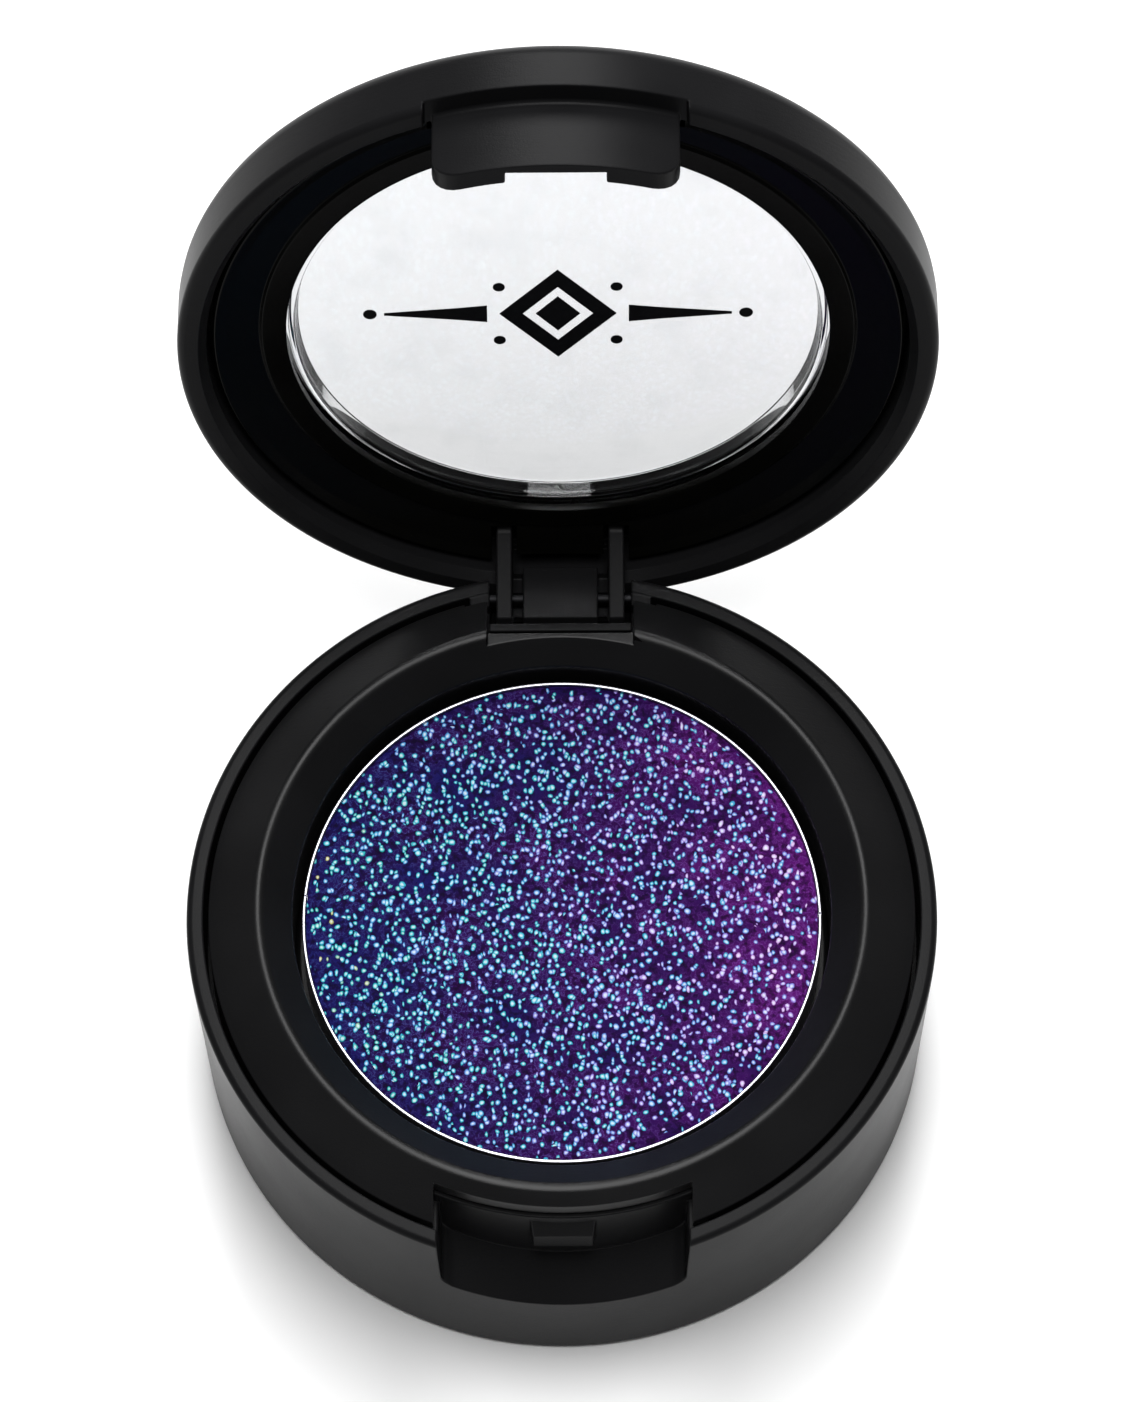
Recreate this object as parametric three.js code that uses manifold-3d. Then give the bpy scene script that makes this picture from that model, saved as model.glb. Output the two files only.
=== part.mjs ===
// A round single-pan eyeshadow compact with its lid open: a base with a thumb notch, an
// insert that holds the metal pan, and a windowed lid that turns on a steel pin.
// Millimetres, +Z up. The origin is the centre of the flat underside; the hinge is at +Y.
import * as THREE from 'three';
import { mergeVertices } from 'three/addons/utils/BufferGeometryUtils.js';
import Module from 'manifold-3d';

const wasm = await Module();
wasm.setup();

// ---- driving dimensions -------------------------------------------------------------
const OUTER_R = 18.75;          // outside radius of base and lid
const FOOT_R = 18.35;           // the side of the base narrows to this at the bottom
const BASE_H = 13.2;            // underside to the top of the base's rim
const LID_H = 3.9;              // lid rim to lid top
const PARTING_GAP = 0.2;        // left between the two rims when the lid is shut
const OPEN_ANGLE = 105;         // degrees from shut to the open stop
const SEGMENTS = 72;            // facets round the compact
const FAR = 20;                 // cutters reach this far from the axis, well outside
const NOTCH_ROOT_Y = 12;        // cutters for the thumb notch start this far in

const SHELL_IN_R = 17.9;        // base shell, inside of its rim
const BASE_FLOOR = 1.4;
const SHOULDER_Z = 9.2;         // the holder's skirt stands on this shoulder
const SHOULDER_R = 16.9;
const LABEL_R = 14.2;
const LABEL_T = 0.2;
const LABEL_RECESS = 0.4;

const PAN_R = 13.0;
const PAN_H = 3.5;
const PAN_WALL = 0.25;
const PAN_TOP_Z = 12.25;        // top edge of the pan
const WELL_R = 13.45;           // well in the holder that takes the pan
const WELL_FLOOR_Z = 8.1;
const WELL_FLOOR_T = 0.8;
const CREST_R = 15.06;          // raised ring round the well
const CREST_Z = 14.5;
const HOLDER_R = 17.65;
const HOLDER_WALL = 0.9;
const DECK_SKIN = 0.65;         // the deck is at least this far down over the walls it crosses

const NOTCH_HALF = 6.3;         // thumb notch, half its width
const NOTCH_LIP_Z = 7.0;        // its sloped floor, at the outside and at the back
const NOTCH_BACK_Z = 8.4;
const NOTCH_BACK_R = 16.2;
const NOTCH_WALL = 0.9;
const NOTCH_FLOOR_T = 1.0;
const NOTCH_CLEAR = 0.25;       // gap between the notch's walls and the holder
const CATCH_HALF = 1.6;
const CATCH_R = 16.7;

const PIN_Y = 17.5;             // hinge axis
const PIN_Z = BASE_H - 0.75;
const PIN_R = 0.35;
const PIN_HALF = 4.05;
const PIN_CLEARANCE = 0.08;
const SLOT_HALF = 3.6;          // hinge slot in the base
const SLOT_WALL = 1.0;
const SLOT_FRONT_Y = 15.4;
const SLOT_LEDGE = 0.45;
const LEDGE_Z = 14.2;           // top of the slot's front wall; the raised ring is cut down to it
const SLOT_FLOOR_Z = 9.9;
const BOSS_FRONT_Y = 16.8;      // the pin's bosses start here
const STOP_Y = PIN_Y + 0.45;    // behind this the wall stands up to the stop's height
const STOP_Z = PIN_Z - 1.2;
const RELIEF_HALF = 4.7;        // shallow pocket in the rear wall that clears the open lid's rim
const RELIEF_Y = 18.08;
const RELIEF_LOW_Z = 10.6;
const RELIEF_HIGH_Z = 12.5;

const LID_RIM_Z = BASE_H + PARTING_GAP;
const LID_TOP_Z = LID_RIM_Z + LID_H;
const LID_IN_R = 17.3;
const LID_PLATE = 1.1;
const WINDOW_HOLE_R = 13.6;
const WINDOW_R = 13.3;
const WINDOW_FLANGE_R = 14.5;
const WINDOW_FLANGE_T = 0.4;
const WINDOW_T = 0.9;
const GLUE_IN_R = 13.75;
const RING_LIP_R = 13.4;        // the ring's thin lip covers the window's flange
const RING_IN_R = 14.8;
const RING_OUT_R = 17.05;

const LUG_HALF = 3.25;          // hinge lug: two ribs with a plate between them
const RIB_IN = 2.45;
const LUG_PLATE_HALF = 1.9;
const LUG_BACK_Y = PIN_Y + 0.75;
const LUG_HEEL_Y = PIN_Y + 0.25;
const LUG_HEEL_Z = PIN_Z - 0.9;
const RIB_END_Y = PIN_Y - 0.65;  // a rib's front runs straight from here to its foot in the lid
const LUG_PLATE_Y = PIN_Y - 0.7;
const LUG_END_Z = PIN_Z - 1.75;
const LUG_TOP_Z = LID_TOP_Z - 1.2;
const WEB_Y = 17.45;            // front of the thin web over the plate
const WEB_Z = LID_RIM_Z + 0.65;
const SLIT_Y = 17.75;           // back of the slits beside the plate
const RIB_REACH_Y = 14.95;

const TAB_HALF = 5.9;           // front tab that carries the catch's pocket
const TAB_OUT_R = 17.6;
const TAB_IN_R = 16.5;
const TAB_DROP = 3.55;
const TAB_RECESS_H = 0.55;
const TAB_CORNER = 1.4;
const POCKET_HALF = 2.4;
const POCKET_R = 17.0;
const RING_GAP = 0.25;          // round the inner ring's cut-outs

// ---- shape helpers --------------------------------------------------------------------

function solidFrom(geometry) {
  const bare = geometry.index ? geometry.toNonIndexed() : geometry.clone();
  bare.deleteAttribute('normal');
  bare.deleteAttribute('uv');
  const merged = mergeVertices(bare, 1e-4);
  return new wasm.Manifold(new wasm.Mesh({
    numProp: 3,
    vertProperties: new Float32Array(merged.attributes.position.array),
    triVerts: new Uint32Array(merged.index.array),
  }));
}

function geometryFrom(solid) {
  const mesh = solid.getMesh();
  const geometry = new THREE.BufferGeometry();
  geometry.setAttribute('position', new THREE.BufferAttribute(mesh.vertProperties, 3));
  geometry.setIndex(new THREE.BufferAttribute(mesh.triVerts, 1));
  geometry.computeVertexNormals();
  return geometry;
}

// A turned solid about Z from [radius, z] pairs that run anticlockwise in the (r, z) plane.
function turned(profile, segments = SEGMENTS) {
  const points = profile.map(([r, z]) => new THREE.Vector2(r, z));
  if (profile[0][0] > 0) {
    points.push(points[0].clone());
  }
  const geometry = new THREE.LatheGeometry(points, segments);
  geometry.rotateX(Math.PI / 2);
  return solidFrom(geometry);
}

function block([x0, y0, z0], [x1, y1, z1]) {
  const geometry = new THREE.BoxGeometry(x1 - x0, y1 - y0, z1 - z0);
  geometry.translate((x0 + x1) / 2, (y0 + y1) / 2, (z0 + z1) / 2);
  return solidFrom(geometry);
}

// A bar along X whose section is drawn in the (y, z) plane.
function bar(section, x0, x1) {
  const shape = new THREE.Shape(section.map(([y, z]) => new THREE.Vector2(y, z)));
  const geometry = new THREE.ExtrudeGeometry(shape, { depth: x1 - x0, bevelEnabled: false });
  geometry.rotateY(Math.PI / 2);
  geometry.rotateX(Math.PI / 2);
  geometry.translate(x0, 0, 0);
  return solidFrom(geometry);
}

function rod(radius, half, y, z, segments = 24) {
  const geometry = new THREE.CylinderGeometry(radius, radius, 2 * half, segments);
  geometry.rotateZ(Math.PI / 2);
  geometry.translate(0, y, z);
  return solidFrom(geometry);
}

function disc(radius, z0, z1, segments = SEGMENTS) {
  return turned([[0, z0], [radius, z0], [radius, z1], [0, z1]], segments);
}

// The space between two radii, from z0 to z1.
function band(r0, r1, z0, z1) {
  return turned([[r0, z0], [r1, z0], [r1, z1], [r0, z1]]);
}

// ---- base -------------------------------------------------------------------------------

function notchWalls() {
  const outer = NOTCH_HALF + NOTCH_WALL;
  const floorZ = NOTCH_LIP_Z - NOTCH_FLOOR_T;
  const sides = block([-outer, -OUTER_R, floorZ], [outer, -NOTCH_ROOT_Y, BASE_H - 0.9])
    .intersect(band(NOTCH_BACK_R - NOTCH_WALL, OUTER_R - 0.45, floorZ - 1, BASE_H));
  const back = block([-outer, -OUTER_R, BASE_H - 1], [outer, -NOTCH_ROOT_Y, BASE_H - 0.15])
    .intersect(band(NOTCH_BACK_R - NOTCH_WALL, NOTCH_BACK_R, floorZ, BASE_H));
  return sides.add(back);
}

function notchSpace() {
  const section = [
    [-OUTER_R - 1, NOTCH_LIP_Z - 0.2], [-OUTER_R, NOTCH_LIP_Z],
    [-NOTCH_BACK_R + 0.1, NOTCH_BACK_Z], [-NOTCH_ROOT_Y, NOTCH_BACK_Z],
    [-NOTCH_ROOT_Y, BASE_H + 2], [-OUTER_R - 1, BASE_H + 2],
  ];
  return bar(section, -NOTCH_HALF, NOTCH_HALF).subtract(disc(NOTCH_BACK_R, 0, BASE_H + 3));
}

function catchBump() {
  const root = -NOTCH_BACK_R + 0.4;
  const section = [
    [root, BASE_H - 0.3], [-NOTCH_BACK_R, BASE_H - 0.65],
    [-CATCH_R, BASE_H - 1.4], [-CATCH_R, BASE_H - 2.75],
    [-NOTCH_BACK_R, BASE_H - 3.1], [root, BASE_H - 3.1],
  ];
  return bar(section.reverse(), -CATCH_HALF, CATCH_HALF);
}

function slotWalls() {
  const outer = SLOT_HALF + SLOT_WALL;
  const front = SLOT_FRONT_Y - SLOT_LEDGE;
  const floorZ = SLOT_FLOOR_Z - 1;
  const box = block([-outer, front, floorZ], [outer, OUTER_R, BASE_H - 0.9]);
  const ledge = block([-SLOT_HALF, front, floorZ], [SLOT_HALF, SLOT_FRONT_Y, LEDGE_Z]);
  const bosses = block([-outer, BOSS_FRONT_Y, floorZ], [outer, OUTER_R, BASE_H - 0.05]);
  return box.add(ledge).add(bosses).intersect(disc(OUTER_R - 0.45, 0, LEDGE_Z));
}

function slotSpace() {
  const well = block([-SLOT_HALF, SLOT_FRONT_Y, SLOT_FLOOR_Z], [SLOT_HALF, STOP_Y, BASE_H + 1]);
  const gate = block([-SLOT_HALF, SLOT_FRONT_Y, STOP_Z], [SLOT_HALF, OUTER_R + 1, BASE_H + 1]);
  const relief = block(
    [-RELIEF_HALF, RELIEF_Y, RELIEF_LOW_Z],
    [RELIEF_HALF, OUTER_R + 1, RELIEF_HIGH_Z],
  );
  return well.add(gate).add(relief);
}

function baseShell() {
  const cup = turned([
    [0, LABEL_RECESS], [LABEL_R + 0.3, LABEL_RECESS], [LABEL_R + 0.3, 0],
    [FOOT_R - 0.5, 0], [FOOT_R - 0.12, 0.15], [FOOT_R, 0.5],
    [OUTER_R - 0.06, BASE_H - 1.3], [OUTER_R, BASE_H - 0.5], [OUTER_R - 0.08, BASE_H - 0.18],
    [OUTER_R - 0.3, BASE_H], [SHELL_IN_R + 0.08, BASE_H], [SHELL_IN_R, BASE_H - 0.1],
    [SHELL_IN_R, SHOULDER_Z], [SHOULDER_R, SHOULDER_Z], [SHOULDER_R, BASE_FLOOR], [0, BASE_FLOOR],
  ]);
  return cup
    .add(notchWalls())
    .add(slotWalls())
    .subtract(notchSpace())
    .subtract(slotSpace())
    .subtract(rod(PIN_R + PIN_CLEARANCE, PIN_HALF + 0.15, PIN_Y, PIN_Z))
    .add(catchBump());
}

function panHolder() {
  const top = BASE_H;
  const ring = turned([
    [0, WELL_FLOOR_Z - WELL_FLOOR_T], [WELL_R + HOLDER_WALL, WELL_FLOOR_Z - WELL_FLOOR_T],
    [WELL_R + HOLDER_WALL, top - 0.3], [CREST_R, top + 0.3],
    [HOLDER_R - HOLDER_WALL, top - 0.55], [HOLDER_R - HOLDER_WALL, SHOULDER_Z + 0.3],
    [HOLDER_R, SHOULDER_Z + 0.3], [HOLDER_R, top - 0.25], [HOLDER_R - 0.15, top - 0.05],
    [16.7, top + 0.5], [15.9, top + 0.98], [CREST_R + 0.35, CREST_Z - 0.06],
    [CREST_R, CREST_Z], [CREST_R - 0.25, CREST_Z - 0.12],
    [WELL_R + 0.2, top + 0.1], [WELL_R, top - 0.1], [WELL_R, WELL_FLOOR_Z], [0, WELL_FLOOR_Z],
  ]);
  const notchOuter = NOTCH_HALF + NOTCH_WALL + NOTCH_CLEAR;
  const wallIn = NOTCH_BACK_R - NOTCH_WALL - NOTCH_CLEAR;
  const clear = 1;
  const underDeck = block([-notchOuter, -FAR, 0], [notchOuter, 0, top - DECK_SKIN])
    .subtract(disc(wallIn, -clear, top));
  const overWall = block([-notchOuter, -FAR, 0], [notchOuter, 0, top])
    .intersect(band(wallIn, NOTCH_BACK_R + 0.2, -clear, top + clear));
  const opening = block([-NOTCH_HALF - 0.05, -FAR, 0], [NOTCH_HALF + 0.05, 0, top + 2])
    .subtract(disc(NOTCH_BACK_R - 0.2, -clear, top + 3));
  const slotOuter = SLOT_HALF + SLOT_WALL + NOTCH_CLEAR;
  const slotFront = SLOT_FRONT_Y - SLOT_LEDGE - NOTCH_CLEAR;
  const bossFront = BOSS_FRONT_Y - NOTCH_CLEAR;
  const underHinge = block([-slotOuter, slotFront, 0], [slotOuter, FAR, top - DECK_SKIN]);
  const slot = block([-SLOT_HALF - 0.1, slotFront + 0.15, 0], [SLOT_HALF + 0.1, FAR, top + 2]);
  const overLedge = block([-SLOT_HALF - 0.1, NOTCH_ROOT_Y, LEDGE_Z], [SLOT_HALF + 0.1, FAR, top + 2]);
  const bossSpace = block([-slotOuter, bossFront, 0], [slotOuter, FAR, top + 2]);
  return [underDeck, overWall, opening, underHinge, slot, overLedge, bossSpace]
    .reduce((solid, cut) => solid.subtract(cut), ring);
}

function shadowPan() {
  const bottom = PAN_TOP_Z - PAN_H;
  return turned([
    [0, bottom], [PAN_R - 0.4, bottom], [PAN_R, bottom + 0.4], [PAN_R, PAN_TOP_Z],
    [PAN_R - PAN_WALL, PAN_TOP_Z], [PAN_R - PAN_WALL, bottom + PAN_WALL], [0, bottom + PAN_WALL],
  ]);
}

function pressedShadow() {
  const radius = PAN_R - PAN_WALL - 0.1;
  const low = PAN_TOP_Z - PAN_H + PAN_WALL + 0.1;
  return turned([
    [0, low], [radius, low], [radius, PAN_TOP_Z - 0.3], [radius - 0.6, PAN_TOP_Z - 0.1],
    [0, PAN_TOP_Z - 0.05],
  ]);
}

// ---- lid, drawn shut --------------------------------------------------------------------

function lugAndRibs() {
  const rib = [
    [LUG_BACK_Y, LUG_TOP_Z], [RIB_REACH_Y, LUG_TOP_Z], [RIB_REACH_Y, LID_RIM_Z + 2],
    [RIB_REACH_Y + 0.3, LID_RIM_Z + 1.75], [RIB_END_Y, LUG_END_Z + 0.1], [RIB_END_Y + 0.15, LUG_END_Z],
    [LUG_HEEL_Y, LUG_END_Z], [LUG_HEEL_Y, LUG_HEEL_Z], [LUG_BACK_Y, LUG_HEEL_Z],
  ];
  const web = [
    [LUG_BACK_Y, LUG_TOP_Z], [WEB_Y, LUG_TOP_Z], [WEB_Y, WEB_Z],
    [LUG_PLATE_Y, WEB_Z], [LUG_PLATE_Y, LUG_END_Z], [LUG_HEEL_Y, LUG_END_Z],
    [LUG_HEEL_Y, LUG_HEEL_Z], [LUG_BACK_Y, LUG_HEEL_Z],
  ];
  const slit = (side) => block(
    [Math.min(side * LUG_PLATE_HALF, side * RIB_IN), RIB_REACH_Y, LUG_END_Z - 1],
    [Math.max(side * LUG_PLATE_HALF, side * RIB_IN), SLIT_Y, WEB_Z],
  );
  return bar(web, -LUG_HALF, LUG_HALF)
    .add(bar(rib, -LUG_HALF, -RIB_IN))
    .add(bar(rib, RIB_IN, LUG_HALF))
    .subtract(slit(1))
    .subtract(slit(-1));
}

function tab() {
  const low = LID_RIM_Z - TAB_DROP;
  const high = LID_RIM_Z + TAB_RECESS_H + 0.7;
  const shape = new THREE.Shape();
  shape.moveTo(-TAB_HALF, high);
  shape.lineTo(-TAB_HALF, low + TAB_CORNER);
  shape.absarc(-TAB_HALF + TAB_CORNER, low + TAB_CORNER, TAB_CORNER, Math.PI, 1.5 * Math.PI);
  shape.absarc(TAB_HALF - TAB_CORNER, low + TAB_CORNER, TAB_CORNER, 1.5 * Math.PI, 2 * Math.PI);
  shape.lineTo(TAB_HALF, high);
  const slab = new THREE.ExtrudeGeometry(shape, { depth: 6, bevelEnabled: false, curveSegments: 5 });
  slab.rotateX(Math.PI / 2);
  slab.translate(0, -NOTCH_ROOT_Y, 0);
  const pocket = block([-POCKET_HALF, -POCKET_R, low - 1], [POCKET_HALF, 0, LID_RIM_Z - 0.2]);
  return solidFrom(slab)
    .intersect(band(TAB_IN_R, TAB_OUT_R + 0.3, 0, LID_TOP_Z))
    .subtract(band(TAB_OUT_R, OUTER_R, 0, LID_RIM_Z + TAB_RECESS_H))
    .subtract(pocket);
}

function lidShell() {
  const z = LID_RIM_Z;
  const shell = turned([
    [LID_IN_R + 0.4, z], [OUTER_R - 0.25, z], [OUTER_R, z + 0.25], [OUTER_R - 0.03, z + 1.8],
    [OUTER_R - 0.22, z + 2.8], [OUTER_R - 0.6, z + 3.5], [OUTER_R - 1.25, z + LID_H],
    [WINDOW_HOLE_R, z + LID_H], [WINDOW_HOLE_R, z + LID_H - LID_PLATE],
    [LID_IN_R, z + LID_H - LID_PLATE], [LID_IN_R, z + 0.5],
  ]);
  const relief = block([-NOTCH_HALF, -FAR, z - 1], [NOTCH_HALF, -NOTCH_ROOT_Y, z + TAB_RECESS_H]);
  const slot = block([-LUG_HALF, RIB_REACH_Y, z - 1], [LUG_HALF, FAR, z + LID_H - LID_PLATE - 0.4]);
  return shell
    .subtract(relief)
    .subtract(slot)
    .add(lugAndRibs())
    .add(tab())
    .subtract(rod(PIN_R + PIN_CLEARANCE, LUG_HALF + 1, PIN_Y, PIN_Z));
}

function lidInnerRing() {
  const z = LID_RIM_Z;
  const under = z + LID_H - LID_PLATE - 0.25;
  const ring = turned([
    [RING_LIP_R, z + 1.5], [RING_IN_R - 0.2, z + 1.5], [RING_IN_R - 0.05, z + 1.65],
    [16.4, z + 1.15], [RING_OUT_R - 0.25, z + 0.92], [RING_OUT_R, z + 1.05],
    [RING_OUT_R, under], [RING_IN_R, under], [RING_IN_R, z + 1.95], [RING_LIP_R, z + 1.95],
  ]);
  const high = LID_TOP_Z + 1;
  const tabSpace = block([-TAB_HALF - RING_GAP, -FAR, 0], [TAB_HALF + RING_GAP, 0, high])
    .subtract(disc(TAB_IN_R - RING_GAP, 0, high + 1));
  const ribSpace = (side) => block(
    [side < 0 ? -LUG_HALF - RING_GAP : RIB_IN - RING_GAP, RIB_REACH_Y - RING_GAP, 0],
    [side < 0 ? -RIB_IN + RING_GAP : LUG_HALF + RING_GAP, FAR, high],
  );
  const webSpace = block([-LUG_HALF, LUG_PLATE_Y - 0.4, 0], [LUG_HALF, FAR, high]);
  return [tabSpace, ribSpace(-1), ribSpace(1), webSpace]
    .reduce((solid, cut) => solid.subtract(cut), ring);
}

function windowAdhesive() {
  const top = LID_TOP_Z - LID_PLATE - 0.1;
  return band(GLUE_IN_R, WINDOW_FLANGE_R, top - 0.15, top);
}

function lidWindow() {
  const top = LID_TOP_Z - 0.1;
  const seat = LID_TOP_Z - LID_PLATE - 0.35;
  return turned([
    [0, top - WINDOW_T], [WINDOW_R - 0.5, top - WINDOW_T], [WINDOW_R - 0.3, seat - WINDOW_FLANGE_T],
    [WINDOW_FLANGE_R - 0.1, seat - WINDOW_FLANGE_T], [WINDOW_FLANGE_R, seat - WINDOW_FLANGE_T + 0.1],
    [WINDOW_FLANGE_R, seat],
    [WINDOW_R, seat], [WINDOW_R, top - 0.15], [WINDOW_R - 0.15, top], [0, top],
  ]);
}

// ---- assembly ---------------------------------------------------------------------------

const BLACK = { color: 0x101012, roughness: 0.42, metalness: 0 };
const GLOSS_BLACK = { color: 0x0a0a0b, roughness: 0.25, metalness: 0 };
const STEEL = { color: 0xb9bbbe, roughness: 0.3, metalness: 1 };
const SHADOW = { color: 0x3d1f7a, roughness: 0.55, metalness: 0.2 };
const CLEAR = { color: 0xe9eef0, roughness: 0.05, metalness: 0 };
const GLUE = { color: 0xd8d2bd, roughness: 0.6, metalness: 0 };
const BLACK_GLUE = { color: 0x0c0c0d, roughness: 0.35, metalness: 0 };
const PAPER = { color: 0xf2f1ec, roughness: 0.8, metalness: 0 };

function piece(name, solid, look) {
  const mesh = new THREE.Mesh(geometryFrom(solid), new THREE.MeshStandardMaterial(look));
  mesh.name = name;
  return mesh;
}

const base = new THREE.Group();
base.add(
  piece('base_shell', baseShell(), BLACK),
  piece('pan_holder', panHolder(), BLACK),
  piece('shadow_pan', shadowPan(), STEEL),
  piece('pressed_shadow', pressedShadow(), SHADOW),
  piece('pan_adhesive', disc(11, WELL_FLOOR_Z + 0.15, WELL_FLOOR_Z + 0.45, 36), GLUE),
  piece('hinge_pin', rod(PIN_R, PIN_HALF, PIN_Y, PIN_Z), STEEL),
  piece('base_label', disc(LABEL_R, 0, LABEL_T), PAPER),
);

const lid = new THREE.Group();
lid.add(
  piece('lid_shell', lidShell(), BLACK),
  piece('lid_inner_ring', lidInnerRing(), GLOSS_BLACK),
  piece('window_adhesive', windowAdhesive(), BLACK_GLUE),
  piece('lid_window', lidWindow(), CLEAR),
);
lid.children.forEach((mesh) => mesh.position.set(0, -PIN_Y, -PIN_Z));
lid.position.set(0, PIN_Y, PIN_Z);
lid.rotation.x = -OPEN_ANGLE * Math.PI / 180;

const compact = new THREE.Group();
compact.add(base, lid);
export default compact;
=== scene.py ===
"""A round single-pan eyeshadow compact, lid open: smooth moulded pieces with procedural finishes.

Lengths in the shape code are millimetres in the CAD frame; finish_piece() turns them into metres.
The lid's pieces are drawn shut and then turned to the open rest position.
"""

import math

import bmesh
import bpy
from mathutils import Matrix, Vector, noise


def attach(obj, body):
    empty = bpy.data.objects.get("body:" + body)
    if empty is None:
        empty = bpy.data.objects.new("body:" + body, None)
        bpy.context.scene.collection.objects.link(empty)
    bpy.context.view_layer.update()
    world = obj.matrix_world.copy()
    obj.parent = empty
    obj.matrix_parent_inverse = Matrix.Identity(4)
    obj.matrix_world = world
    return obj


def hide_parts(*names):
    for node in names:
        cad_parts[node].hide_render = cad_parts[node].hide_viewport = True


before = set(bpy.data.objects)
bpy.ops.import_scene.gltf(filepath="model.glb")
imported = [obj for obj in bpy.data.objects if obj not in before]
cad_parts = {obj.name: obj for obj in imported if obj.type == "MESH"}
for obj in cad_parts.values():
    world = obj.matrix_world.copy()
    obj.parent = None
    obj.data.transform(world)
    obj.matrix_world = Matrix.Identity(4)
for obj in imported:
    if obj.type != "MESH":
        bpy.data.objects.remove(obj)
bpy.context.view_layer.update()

MM = 0.001
COLUMNS = 232                  # facets round the compact
COLUMN_R = 17.5                # radius at which the facets are even
STRAIGHT_FROM_R = 15.0         # outside this radius the facet lines run parallel at front and back
STRAIGHT_HALF = 45             # degrees from front or back at which they start to turn parallel
STRAIGHT_BLEND = 18            # degrees over which they turn
FILLET_STEPS = 6
BEVEL = 0.09                   # rounding of the edges left by the cuts
BEVEL_FROM = math.radians(32)  # an edge that turns more than this is rounded
SHARP_FROM = math.radians(38)  # an edge that still turns more than this is shaded sharp
WELD_DIST, SLIVER_DIST = 0.004, 0.003
FAR = 20.0                     # past the compact's side, for cutting tools
NEVER_COPLANAR = 0.01          # offset that keeps the faces of two tools apart

# ---- dimensions repeated from the CAD, mm ----------------------------------------------

OUTER_R, FOOT_R, BASE_H, LID_H = 18.75, 18.35, 13.2, 3.9
PARTING_GAP, OPEN_ANGLE = 0.2, 105.0
SHELL_IN_R, BASE_FLOOR, SHOULDER_Z, SHOULDER_R = 17.9, 1.4, 9.2, 16.9
LABEL_R, LABEL_T, LABEL_RECESS, LABEL_ROOM = 14.2, 0.2, 0.4, 0.3
PAN_R, PAN_H, PAN_TOP_Z = 13.0, 3.5, 12.25
WELL_R, WELL_FLOOR_Z, CREST_R, CREST_Z, HOLDER_R = 13.45, 8.1, 15.06, 14.5, 17.65
NOTCH_HALF, NOTCH_LIP_Z, NOTCH_BACK_Z, NOTCH_BACK_R, NOTCH_WALL = 6.3, 7.0, 8.4, 16.2, 0.9
NOTCH_CLEAR = 0.25
CATCH_HALF, CATCH_R = 1.6, 16.7
PIN_Y, PIN_Z, PIN_R, PIN_HALF = 17.5, BASE_H - 0.75, 0.35, 4.05
BORE_R = PIN_R + 0.08
SLOT_HALF, SLOT_WALL, SLOT_FRONT_Y, SLOT_LEDGE, SLOT_FLOOR_Z, LEDGE_Z = 3.6, 1.0, 15.4, 0.45, 9.9, 14.2
BOSS_FRONT_Y, STOP_Y, STOP_Z = 16.8, PIN_Y + 0.45, PIN_Z - 1.2
RELIEF_HALF, RELIEF_Y, RELIEF_LOW_Z, RELIEF_HIGH_Z = 4.7, 18.08, 10.6, 12.5
LID_RIM_Z = BASE_H + PARTING_GAP
LID_TOP_Z = LID_RIM_Z + LID_H
LID_IN_R, LID_PLATE, LID_SKIN = 17.3, 1.1, 0.4
WINDOW_HOLE_R, WINDOW_R, WINDOW_FLANGE_R, WINDOW_FLANGE_T, WINDOW_T = 13.6, 13.3, 14.5, 0.4, 0.9
WINDOW_SINK, FLANGE_DROP = 0.1, 0.35
RING_LIP_R, RING_IN_R, RING_OUT_R, RING_CLEAR = 13.4, 14.8, 17.05, 0.25
RING_DISH_R, RING_DISH_ROUND = 16.35, 1.5
LUG_HALF, RIB_IN, LUG_PLATE_HALF = 3.25, 2.45, 1.9
LUG_BACK_Y, LUG_HEEL_Y, LUG_HEEL_Z = PIN_Y + 0.75, PIN_Y + 0.25, PIN_Z - 0.9
RIB_END_Y, LUG_PLATE_Y, LUG_END_Z, RIB_REACH_Y = PIN_Y - 0.65, PIN_Y - 0.7, PIN_Z - 1.75, 14.95
LUG_TOP_Z, WEB_Y, WEB_Z, SLIT_Y = LID_TOP_Z - 1.2, 17.45, LID_RIM_Z + 0.65, 17.75
TAB_HALF, TAB_OUT_R, TAB_IN_R, TAB_DROP = 5.9, 17.6, 16.5, 3.55
TAB_RECESS_H, TAB_CORNER, POCKET_HALF, POCKET_R = 0.55, 1.4, 2.4, 17.0


# ---- shape helpers -----------------------------------------------------------------------

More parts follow.
